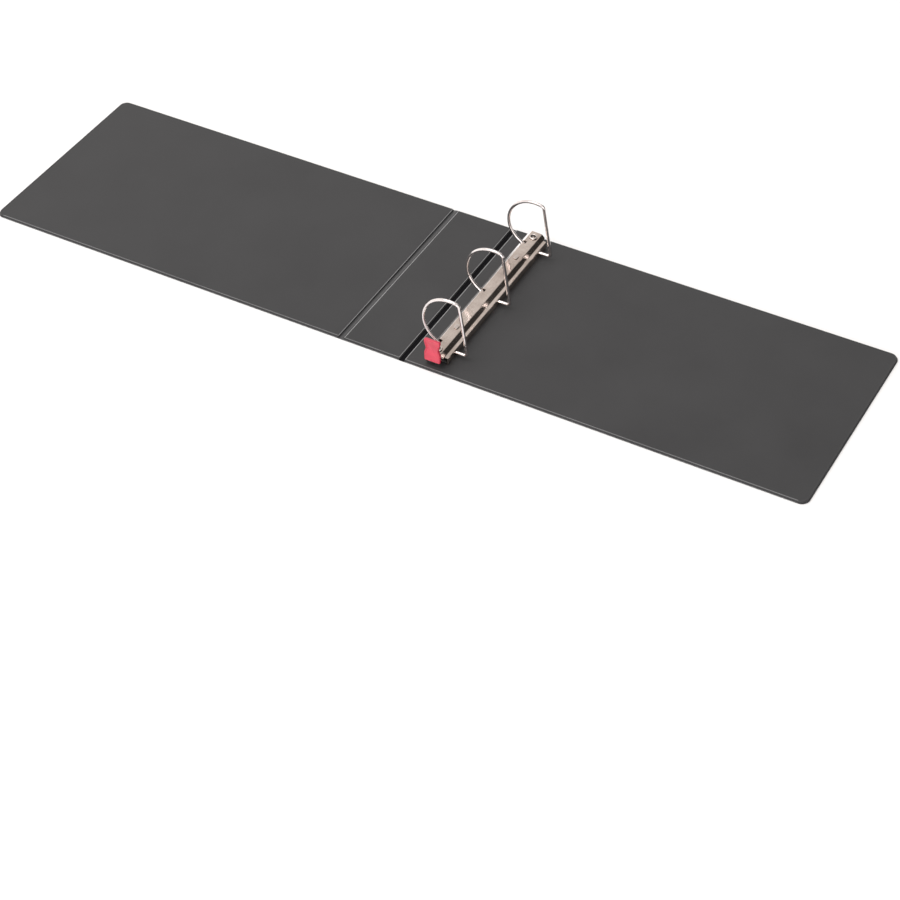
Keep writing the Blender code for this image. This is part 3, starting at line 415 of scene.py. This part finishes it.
def moulded_red(name):
    """Glossy red moulding with a soft spark-eroded texture and slow colour drift."""
    nodes = Nodes(name)
    nodes.value(Coat_Weight=0.25, Coat_Roughness=0.18)
    nodes.value(Subsurface_Weight=0.08, Subsurface_Scale=0.8 * MM, Subsurface_Radius=(1.0, 0.25, 0.2))
    drift = nodes.noise(scale=90.0, detail=3.0)
    skin = nodes.noise(scale=2600.0, detail=2.0)
    nodes.link(nodes.ramp(drift, (0.3, (0.52, 0.028, 0.060)), (0.7, (0.62, 0.042, 0.084))), "Base Color")
    nodes.link(nodes.between(skin, low=0.30, high=0.44, start=0.3, end=0.7), "Roughness")
    nodes.bump(nodes.sum(skin, drift, share=0.6), strength=0.22, distance=0.06 * MM)
    return nodes.material


def floor_finish(name):
    """Matt white with the slightest clouding."""
    nodes = Nodes(name)
    nodes.link(nodes.ramp(nodes.noise(scale=2.0, detail=2.0), (0.0, 0.93), (1.0, 0.95)), "Base Color")
    nodes.value(Roughness=0.8)
    return nodes.material


VINYL = vinyl("cover_vinyl", dark=(0.026, 0.026, 0.0275), light=(0.038, 0.038, 0.0395), roughness=0.50)
# Painted highlight: light grey vinyl on the beads beside the grooves and on the near rim, standing in for the
# shine of light along those edges
EDGE_PAINTED_HIGHLIGHT = vinyl("edge_painted_highlight_vinyl", dark=(0.20, 0.20, 0.205), light=(0.29, 0.29, 0.295),
             roughness=0.26, grain=0.08)
# Painted highlight, lighter still: for the runs on a panel's left side, which catch more light
LEFT_EDGE_PAINTED_HIGHLIGHT = vinyl("left_edge_painted_highlight_vinyl", dark=(0.36, 0.36, 0.365), light=(0.50, 0.50, 0.505),
                  roughness=0.24, grain=0.08)
# Painted light: vinyl lighter than the cover, for the lit swell of the front groove's floor
GROOVE_PAINTED_LIGHT = vinyl("groove_vinyl", dark=(0.050, 0.050, 0.052), light=(0.075, 0.075, 0.077),
               roughness=0.36, grain=0.15)
# Painted shade: near-black, barely shiny vinyl for the back groove's floor, which lies in shadow
GROOVE_PAINTED_SHADE = vinyl("groove_painted_shade_vinyl", dark=(0.002, 0.002, 0.003), light=(0.004, 0.004, 0.005),
                    roughness=0.62, grain=0.2, shine=0.05)
PLATE_NICKEL = nickel("plated_sheet_nickel", dark=(0.66, 0.575, 0.53), light=(0.90, 0.82, 0.77),
                      roughness=0.12)
# Its left bevel, the faces turned up and to the left, gets a painted highlight
HOUSING_NICKEL = nickel("housing_nickel", dark=(0.60, 0.50, 0.44), light=(0.90, 0.79, 0.72),
                        roughness=0.11, painted_highlight_facing=(-0.588, 0.0, 0.809))
WIRE_NICKEL = nickel("plated_wire_nickel", dark=(0.68, 0.62, 0.61), light=(0.86, 0.81, 0.80),
                     roughness=0.12, drawn=DRAWN_NO_WAY)
STEEL = plain_steel("spring_steel", dark=0.30, light=0.52)
# Painted shade: near-black steel for the deep rows of the rivets' wells
WELL_PAINTED_SHADE_STEEL = plain_steel("rivet_well_painted_shade_steel", dark=0.03, light=0.07)
BOARD = chipboard("cover_chipboard")
RED = moulded_red("grip_red_plastic")


def give_finish(names, finish):
    """A CAD node keeps its shape and takes a finish."""
    for name in names:
        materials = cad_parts[name].data.materials
        materials.clear()
        materials.append(finish)


# ---- covers -----------------------------------------------------------------
def rounded_loop(low, high, radii, inset):
    """Corners' arcs of a rectangle drawn in by inset; radii are those of the left and right side."""
    in_flat = inset > RIM_REACH
    sides = [inset if in_flat or radius > HINGE_CORNER else inset * HINGE_SHARE for radius in radii]
    left, right = low[0] + sides[0], high[0] - sides[1]
    near, far = low[1] + inset, high[1] - inset
    left_radius, right_radius = (max(radius - inset, LEAST_CORNER) for radius in radii)
    corners = ((right - right_radius, far - right_radius, right_radius),
               (left + left_radius, far - left_radius, left_radius),
               (left + left_radius, near + left_radius, left_radius),
               (right - right_radius, near + right_radius, right_radius))
    points = []
    for quarter, (x, y, radius) in enumerate(corners):
        start = math.pi / 2 * quarter
        points += arc((x, y), radius, start, start + math.pi / 2, CORNER_STEPS + 1)
    return points


def lofted_sheet(name, low, high, radii, section, bead_rows, rim_rows):
    """A closed sheet whose section runs from under its middle, round its rim, to over its middle."""
    shape = bmesh.new()
    rows = []
    for inset, z in section:
        rows.append([shape.verts.new((x, y, z)) for x, y in rounded_loop(low, high, radii, inset)])
    quarter = CORNER_STEPS + 1
    left_run, near_run, right_run = 2 * quarter - 1, 3 * quarter - 1, 4 * quarter - 1
    # Painted highlights: over the bead, the runs beside a groove take light grey vinyl, a lighter one on a
    # panel's left side; the near run takes it on the rim rows
    painted_highlight_of = {}
    if radii[1] == HINGE_CORNER:
        painted_highlight_of[right_run] = 1
    if radii[0] == HINGE_CORNER:
        painted_highlight_of[left_run] = 2
    for number, (first, second) in enumerate(zip(rows, rows[1:])):
        faces = add_band(shape, first, second)
        if number in bead_rows:
            for run, finish in painted_highlight_of.items():
                faces[run].material_index = finish
        if number in rim_rows:
            faces[near_run].material_index = 1
    shape.faces.new(rows[0])
    shape.faces.new(rows[-1])
    return mesh_from(shape, name)


def inner_section(flat, underside):
    """Insets and heights of an inner sheet, from under its middle round its rim to its flat."""
    inside = [(FLAT_INSET, underside), (2.6 * MM, underside), (1.9 * MM, underside - 0.05 * MM),
              (1.42 * MM, 2.2 * MM), (1.40 * MM, 1.2 * MM)]
    weld = [(1.30 * MM, SHEET_BETWEEN + 0.06 * MM), (0.15 * MM, SHEET_BETWEEN + 0.02 * MM)]
    rim = [(0.02 * MM, 0.70 * MM), (0.0, 0.80 * MM), (0.06 * MM, 0.90 * MM), (0.22 * MM, RIM_TOP),
           (0.85 * MM, RIM_TOP - 0.02 * MM), (1.02 * MM, RIM_TOP + 0.05 * MM)]
    wall = [(1.10 * MM, 1.25 * MM), (1.14 * MM, 2.20 * MM), (1.20 * MM, 2.70 * MM), (1.34 * MM, 3.02 * MM)]
    bead = [(1.60 * MM, flat + 0.6 * BEAD_RISE), (1.95 * MM, flat + BEAD_RISE),
            (2.30 * MM, flat + 0.6 * BEAD_RISE), (2.75 * MM, flat - 0.04 * MM)]
    return inside + weld + rim + wall + bead + [(3.6 * MM, flat - 0.02 * MM), (FLAT_INSET, flat)]


def outer_section():
    """Insets and heights of an outer sheet, from under its middle round its rim to over its middle."""
    underside = [(FLAT_INSET, 0.0), (2.7 * MM, 0.0), (1.9 * MM, 0.05 * MM), (1.35 * MM, 0.22 * MM),
                 (1.1 * MM, 0.36 * MM), (0.2 * MM, 0.36 * MM)]
    rim = [(0.03 * MM, 0.42 * MM), (0.0, 0.48 * MM), (0.04 * MM, 0.56 * MM)]
    weld = [(0.15 * MM, SHEET_BETWEEN), (1.5 * MM, SHEET_BETWEEN)]
    inside = [(1.9 * MM, 0.45 * MM), (FLAT_INSET, 0.42 * MM)]
    return underside + rim + weld + inside


def cut_holes(piece, places, radius, low, high):
    """Round holes through a piece, along Z, made in its own mesh."""
    shape = bmesh.new()
    for x, y in places:
        middle = Matrix.Translation((x, y, (low + high) / 2))
        bmesh.ops.create_cone(shape, cap_ends=True, segments=HOLE_STEPS, radius1=radius, radius2=radius,
                              depth=high - low, matrix=middle)
    cut_away(piece, mesh_from(shape, "holes"))


def rivet_holes():
    """The middles of the two mounting rivets' caps, and the radius of each sheet's holes there."""
    places = []
    for end in ENDS:
        low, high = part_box(f"rivet_cap_{end}")
        centre = (low + high) / 2
        places.append((centre.x, centre.y))
    return places, {"inner_liner": SHANK_RADIUS, "outer_skin": (high.x - low.x) / 2}


def panel_pieces(panel, body, radii, riveted=False):
    """The inner and the outer vinyl sheet of one board, welded together at a flat rim."""
    low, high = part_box(f"{panel}_inner_liner")
    board_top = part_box(f"{panel}_board")[1].z
    inner = inner_section(high.z, board_top + BOARD_GAP)
    for side, section, bead_rows, rim_rows in (("inner_liner", inner, BEAD_ROWS, RIM_ROWS),
                                               ("outer_skin", outer_section(), (), ())):
        name = f"{panel}_{side}_vinyl"
        mesh = lofted_sheet(name, low, high, radii, section, bead_rows, rim_rows)
        piece = new_piece(name, mesh, VINYL, EDGE_PAINTED_HIGHLIGHT, LEFT_EDGE_PAINTED_HIGHLIGHT)
        if riveted:
            places, hole_radius = rivet_holes()
            cut_holes(piece, places, hole_radius[side] + HOLE_PLAY, -HOLE_PAST, high.z + HOLE_PAST)
        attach(piece, body)
        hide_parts(f"{panel}_{side}")
    give_finish((f"{panel}_board",), BOARD)


def groove_floor(web_top, rise):
    """Height of a groove's floor over its web: a swell with its crest right of the middle."""
    def height(x):
        distance = (x - GROOVE_CREST) / (GROOVE_REACH + GROOVE_CREST)
        return web_top + rise * (0.5 + 0.5 * math.cos(math.pi * max(-1.0, min(1.0, distance))))
    return height


def groove_piece(name, finish, side, web, floor_height):
    """Half of one groove's vinyl, from its web's middle to under a board's wall; side is 1 or -1."""
    low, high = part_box(web)
    middle = (low.x + high.x) / 2
    start_x = middle if side > 0 else middle - GROOVE_REACH
    end_x = middle + GROOVE_REACH if side > 0 else middle
    xs = [start_x + (end_x - start_x) * i / GROOVE_STEPS for i in range(GROOVE_STEPS + 1)]
    section = [(x, floor_height(x - middle)) for x in xs] + [(x, GROOVE_UNDERSIDE) for x in reversed(xs)]
    near, far = low.y + GROOVE_END_GAP, high.y - GROOVE_END_GAP
    shape = bmesh.new()
    rows = []
    for row in range(GROOVE_ROWS + 1):
        y = near + (far - near) * row / GROOVE_ROWS
        rows.append([shape.verts.new((x, y, z)) for x, z in section])
    for first, second in zip(rows, rows[1:]):
        # The top faces keep the groove's finish, a painted light or painted shade; the rest take plain vinyl
        for face in add_band(shape, first, second)[GROOVE_STEPS:]:
            face.material_index = 1
    shape.faces.new(rows[0])
    shape.faces.new(rows[-1])
    piece = new_piece(name, mesh_from(shape, name), finish, VINYL)
    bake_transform(piece)
    return piece


def make_covers():
    panel_pieces("back", "back_cover", (HINGE_CORNER, CORNER_RADIUS), riveted=True)
    panel_pieces("spine", "spine", (HINGE_CORNER, HINGE_CORNER))
    panel_pieces("front", "front_cover", (CORNER_RADIUS, HINGE_CORNER))
    # The back groove's floor is painted as shade, the front groove's swell as light
    for groove, finish, rise, right, left in (
            ("back", GROOVE_PAINTED_SHADE, BACK_GROOVE_RISE, "back_cover", "spine"),
            ("front", GROOVE_PAINTED_LIGHT, FRONT_GROOVE_RISE, "spine", "front_cover")):
        web = f"{groove}_hinge_web"
        floor = groove_floor(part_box(web)[1].z + GROOVE_OVER_WEB, rise)
        for side, side_name, body in ((1, "right", right), (-1, "left", left)):
            name = f"{groove}_groove_vinyl_{side_name}"
            piece = groove_piece(name, finish, side, web, floor)
            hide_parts(web)


# ---- rings ------------------------------------------------------------------
def corner(before, point, after, radius, count):
    """The arc that rounds one corner of a run of straight lines."""
    arrive, leave = (point - before).normalized(), (after - point).normalized()
    turn = arrive.angle_signed(leave)
    side = -1.0 if turn > 0 else 1.0
    normal = Vector((-arrive.y, arrive.x)) * side
    centre = point - arrive * (radius * math.tan(abs(turn) / 2)) + normal * radius
    first = math.atan2(-normal.y, -normal.x)
    return arc(centre, radius, first, first - turn, count)


def ring_lines(wire):
    """Where the halves meet, and their centre lines in XZ, from the CAD halves' boxes."""
    left_low, left_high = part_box("ring_half_left_middle")
    right_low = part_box("ring_half_right_middle")[0]
    housing_low, housing_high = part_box("ring_housing")
    foot_z = right_low.z + FOOT_ABOVE_TENON
    centre = Vector((left_low.x + wire / 2 + RING_RADIUS, left_high.z - wire / 2 - RING_RADIUS))
    split = centre + RING_RADIUS * Vector((math.sin(SPLIT_FALL), math.cos(SPLIT_FALL)))
    step = HALF_STEP / RING_RADIUS
    quarter = math.pi / 2

    leave = centre + RING_RADIUS * Vector((math.cos(ENTRY_ANGLE), math.sin(ENTRY_ANGLE)))
    heading = Vector((-math.sin(ENTRY_ANGLE), math.cos(ENTRY_ANGLE)))
    leg_x = housing_low.x + LEG_INSET
    knee = leave + heading * ((leg_x - leave.x) / heading.x)
    foot = Vector((leg_x, foot_z - wire * LEFT_FOOT_SHARE))
    left = [foot] + corner(foot, knee, leave, KNEE_RADIUS, CORNER_POINTS)
    left += arc(centre, RING_RADIUS, ENTRY_ANGLE, -3 * quarter - SPLIT_FALL - step, ROUND_SIDE_POINTS)

    fall_start = centre + RING_RADIUS * Vector((math.sin(ROUND_SIDE_FALL), math.cos(ROUND_SIDE_FALL)))
    foot_corner = Vector((housing_high.x + LEG_FOOT_OUT, foot_z))
    lean, fall = math.tan(LEG_LEAN), math.tan(ROUND_SIDE_FALL)
    run = (foot_corner.x - fall_start.x - (fall_start.y - foot_z) * lean) / (1 - lean * fall)
    top_corner = fall_start + Vector((run, -run * fall))
    inner = Vector((right_low.x, foot_z))
    right = arc(centre, RING_RADIUS, quarter - SPLIT_FALL + step, quarter - ROUND_SIDE_FALL, ROUND_END_POINTS)
    right += corner(fall_start, top_corner, foot_corner, TOP_CORNER_RADIUS, CORNER_POINTS)
    right += corner(top_corner, foot_corner, inner, FOOT_CORNER_RADIUS, CORNER_POINTS) + [inner]
    return split, left, right


def wire_mesh(line, wire, y):
    """A closed round wire along points in XZ, with its end caps welded on."""
    curve = bpy.data.curves.new("wire", "CURVE")
    curve.dimensions = "3D"
    curve.bevel_depth = wire / 2
    curve.bevel_resolution = WIRE_RESOLUTION
    curve.use_fill_caps = True
    spline = curve.splines.new("POLY")
    spline.points.add(len(line) - 1)
    for point, place in zip(spline.points, line):
        point.co = (place.x, y, place.y, 1.0)
    holder = placed("holder", curve)
    shape = bmesh.new()
    shape.from_mesh(evaluated_mesh(holder))
    bpy.data.objects.remove(holder, do_unlink=True)
    bmesh.ops.remove_doubles(shape, verts=shape.verts, dist=SAME_POINT)
    return mesh_from(shape, curve.name)


def box_mesh(low, high):
    low, high = Vector(low), Vector(high)
    shape = bmesh.new()
    size = Matrix.Diagonal((*(high - low), 1.0))
    bmesh.ops.create_cube(shape, size=1.0, matrix=Matrix.Translation((low + high) / 2) @ size)
    return mesh_from(shape, "box")


def make_rings():
    """Each half is a bent wire; at the top they overlap in a stepped joint."""
    low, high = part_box("ring_half_left_middle")
    wire = high.y - low.y
    split, left, right = ring_lines(wire)
    left_notch = ((-HALF_STEP - STEP_PLAY, -wire, -wire), (wire, wire, STEP_PLAY))
    right_notch = ((-wire, -wire, -STEP_PLAY), (HALF_STEP + 2 * STEP_PLAY, wire, wire))
    for place in ("near", "middle", "far"):
        low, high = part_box(f"ring_half_left_{place}")
        y = (low.y + high.y) / 2
        joint = Matrix.Translation((split.x, y, split.y)) @ Matrix.Rotation(SPLIT_FALL, 4, "Y")
        for side, line, notch in (("left", left, left_notch), ("right", right, right_notch)):
            name = f"ring_half_{side}_{place}"
            piece = new_piece(f"{name}_wire", wire_mesh(line, wire, y), WIRE_NICKEL)
            cutter = box_mesh(*notch)
            cutter.transform(joint)
            cut_away(piece, cutter, STEP_EDGE)
            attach(piece, f"{side}_rings")
            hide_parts(name)


# ---- rivets, grip and the CAD's own metal -----------------------------------
def turned_piece(name, profile, place, finishes, second_rows):
    """A shape turned about a vertical line; the rows in second_rows take the second finish."""
    steps = TURNED_STEPS
    shape = bmesh.new()
    rings = []
    for radius, z in profile:
        angles = [2 * math.pi * i / steps for i in range(steps)] if radius else [0.0]
        rings.append([shape.verts.new((place[0] + radius * math.cos(a), place[1] + radius * math.sin(a), z))
                      for a in angles])
    for row, (first, second) in enumerate(zip(rings, rings[1:])):
        for i in range(steps):
            after = (i + 1) % steps
            if len(first) == 1:
                face = shape.faces.new((first[0], second[after], second[i]))
            elif len(second) == 1:
                face = shape.faces.new((first[i], first[after], second[0]))
            else:
                face = shape.faces.new((first[i], first[after], second[after], second[i]))
            face.material_index = 1 if row in second_rows else 0
    return new_piece(name, mesh_from(shape, name), *finishes, smooth_angle=50.0)


def make_rivet_heads():
    """Tubular rivets: a rolled rim round a well painted near-black as shade, with the set shank's bright
    middle in it.
    """
    for end in ENDS:
        node = f"mounting_rivet_{end}"
        low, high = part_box(node)
        place = ((low.x + high.x) / 2, (low.y + high.y) / 2)
        head = (high.x - low.x) / 2
        seat = high.z - RIVET_CREST
        rim = arc((head - RIVET_RIM, seat + RIM_LIFT), RIVET_RIM, 0.0, RIM_ROLL, RIM_POINTS)
        profile = [(radius, seat - depth) for radius, depth in WELL]
        profile += [(point.x, min(point.y, high.z)) for point in reversed(rim)]
        profile += [(head - HEAD_UNDERCUT, seat), (SHANK_RADIUS, seat), (SHANK_RADIUS, low.z), (0.0, low.z)]
        piece = turned_piece(f"{node}_rolled", profile, place, (PLATE_NICKEL, WELL_PAINTED_SHADE_STEEL), PAINTED_SHADE_WELL_ROWS)
        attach(piece, "back_cover")
        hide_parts(node)


def grip_outline(low, high):
    """The grip's outline in XZ: a wide top, a waist above the middle and a straight-sided foot."""
    middle, half = (low.x + high.x) / 2, (high.x - low.x) / 2
    waist_start, waist, waist_end = WAIST_HEIGHTS
    right = [(half, 0.0, FOOT_RADIUS), (half, waist_start, WAIST_RADIUS),
             (half - WAIST_INSET, waist, WAIST_RADIUS), (half, waist_end, WAIST_RADIUS),
             (half, 1.0, HEAD_RADIUS)]
    left = [(-x, share, radius) for x, share, radius in reversed(right)]
    places = left[-1:] + right + left[:-1]
    corners = [Vector((middle + x, low.z + share * (high.z - low.z))) for x, share, radius in places]
    points = []
    for index, (point, place) in enumerate(zip(corners, places)):
        after = corners[(index + 1) % len(corners)]
        points += corner(corners[index - 1], point, after, place[2], GRIP_CORNER_POINTS)
    return points


def drawn_in(points, inset):
    """The outline moved inwards along its own normals."""
    moved = []
    for index, point in enumerate(points):
        along = (points[(index + 1) % len(points)] - points[index - 1]).normalized()
        moved.append(point + Vector((-along.y, along.x)) * inset)
    return moved


def make_grip():
    """A moulded tab with rolled edges, a dished front with a faint cross crease, and a flat back."""
    low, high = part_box("lever_grip")
    outline = grip_outline(low, high)
    middle = Vector(((low.x + high.x) / 2, low.z + GRIP_MIDDLE * (high.z - low.z)))
    front, back = low.y, high.y
    shape = bmesh.new()
    rows = []

    def add_row(points, depths):
        rows.append([shape.verts.new((point.x, depth, point.y)) for point, depth in zip(points, depths)])

    def face_depth(point):
        offset = point - middle
        across = offset.x / (high.x - low.x) * 2
        up = offset.y / (high.z - low.z) * 2
        dish = DISH_DEPTH * max(0.0, 1.0 - across * across - DISH_LENGTHWISE * up * up)
        crease = CREASE_RISE * math.exp(-((abs(across) - abs(up) * CREASE_SLOPE) / CREASE_WIDTH) ** 2)
        return front + dish - crease + FACE_DEPTH

    inner = drawn_in(outline, GRIP_EDGE)
    for share in FACE_SHARES:
        points = [middle + (point - middle) * share for point in inner]
        add_row(points, [face_depth(point) for point in points])
    for step in range(FRONT_EDGE_STEPS + 1):
        angle = math.pi / 2 * step / FRONT_EDGE_STEPS
        depth = front + GRIP_EDGE * (1 - math.cos(angle))
        add_row(drawn_in(outline, GRIP_EDGE * (1 - math.sin(angle))), [depth] * len(outline))
    for step in range(1, BACK_EDGE_STEPS + 1):
        angle = math.pi / 2 * step / BACK_EDGE_STEPS
        depth = back - GRIP_EDGE * (1 - math.sin(angle))
        add_row(drawn_in(outline, GRIP_EDGE * (1 - math.cos(angle))), [depth] * len(outline))
    for first, second in zip(rows, rows[1:]):
        add_band(shape, first, second)
    shape.faces.new(rows[0])
    shape.faces.new(rows[-1])
    piece = new_piece("lever_grip_moulding", mesh_from(shape, "lever_grip_moulding"), RED, smooth_angle=60.0)
    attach(piece, "lever")
    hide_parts("lever_grip")


def make_mechanism():
    give_finish(("ring_housing",), HOUSING_NICKEL)
    soften(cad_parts["ring_housing"], "soft_edges", HOUSING_EDGE, HOUSING_EDGE_ANGLE)
    give_finish([f"{kind}_{end}" for kind in ("guide_rivet", "rivet_cap") for end in ENDS], PLATE_NICKEL)
    give_finish(("left_hinge_plate", "right_hinge_plate", "travel_bar", "lever_pin"), STEEL)
    give_finish(("lever",), PLATE_NICKEL)
    make_rings()
    make_rivet_heads()
    make_grip()


# ---- studio -----------------------------------------------------------------
def make_floor():
    mesh = bpy.data.meshes.new("floor")
    shape = bmesh.new()
    bmesh.ops.create_grid(shape, x_segments=1, y_segments=1, size=FLOOR_REACH)
    shape.to_mesh(mesh)
    shape.free()
    floor = placed("floor", mesh)
    mesh.materials.append(floor_finish("pale_floor"))
    floor.location.z = -FLOOR_DROP


def area_light(name, place, target, sides, power):
    light = bpy.data.lights.new(name, "AREA")
    light.shape = "RECTANGLE"
    light.size, light.size_y = sides
    light.energy = power
    lamp = placed(name, light)
    lamp.location = place
    lamp.rotation_euler = (Vector(target) - Vector(place)).to_track_quat("-Z", "Y").to_euler()


def make_light():
    """A pale studio with a dark wall, so that the plated metal has something to mirror."""
    world = bpy.data.worlds.new("studio")
    bpy.context.scene.world = world
    world.use_nodes = True
    tree = world.node_tree
    backdrop = tree.nodes["Background"]
    backdrop.inputs["Color"].default_value = STUDIO_COLOUR
    outwards = tree.nodes.new("ShaderNodeTexCoord").outputs["Generated"]
    strength = None
    for direction, start, end, before, after in STUDIO_TONES:
        tone = mapped(tree, closeness(tree, outwards, direction), start, end, before, after, "SMOOTHSTEP")
        if strength:
            both = tree.nodes.new("ShaderNodeMath")
            both.operation = "MULTIPLY"
            tree.links.new(strength, both.inputs[0])
            tree.links.new(tone, both.inputs[1])
            tone = both.outputs["Value"]
        strength = tone
    tree.links.new(strength, backdrop.inputs["Strength"])
    for row in LIGHTS:
        area_light(*row)
    bpy.context.scene.view_settings.view_transform = "Standard"


def make_camera():
    level = math.cos(CAMERA_ELEVATION)
    back = Vector((math.sin(CAMERA_AZIMUTH) * level, -math.cos(CAMERA_AZIMUTH) * level,
                   math.sin(CAMERA_ELEVATION)))
    data = bpy.data.cameras.new("camera")
    data.lens = CAMERA_LENS
    data.sensor_width = CAMERA_SENSOR
    data.clip_start, data.clip_end = CAMERA_CLIP
    camera = placed("camera", data)
    camera.location = Vector(CAMERA_TARGET) + back * CAMERA_DISTANCE
    upright = (-back).to_track_quat("-Z", "Y").to_matrix().to_4x4()
    camera.rotation_euler = (upright @ Matrix.Rotation(CAMERA_ROLL, 4, "Z")).to_euler()
    bpy.context.scene.camera = camera


make_camera()
make_covers()
make_mechanism()
make_floor()
make_light()
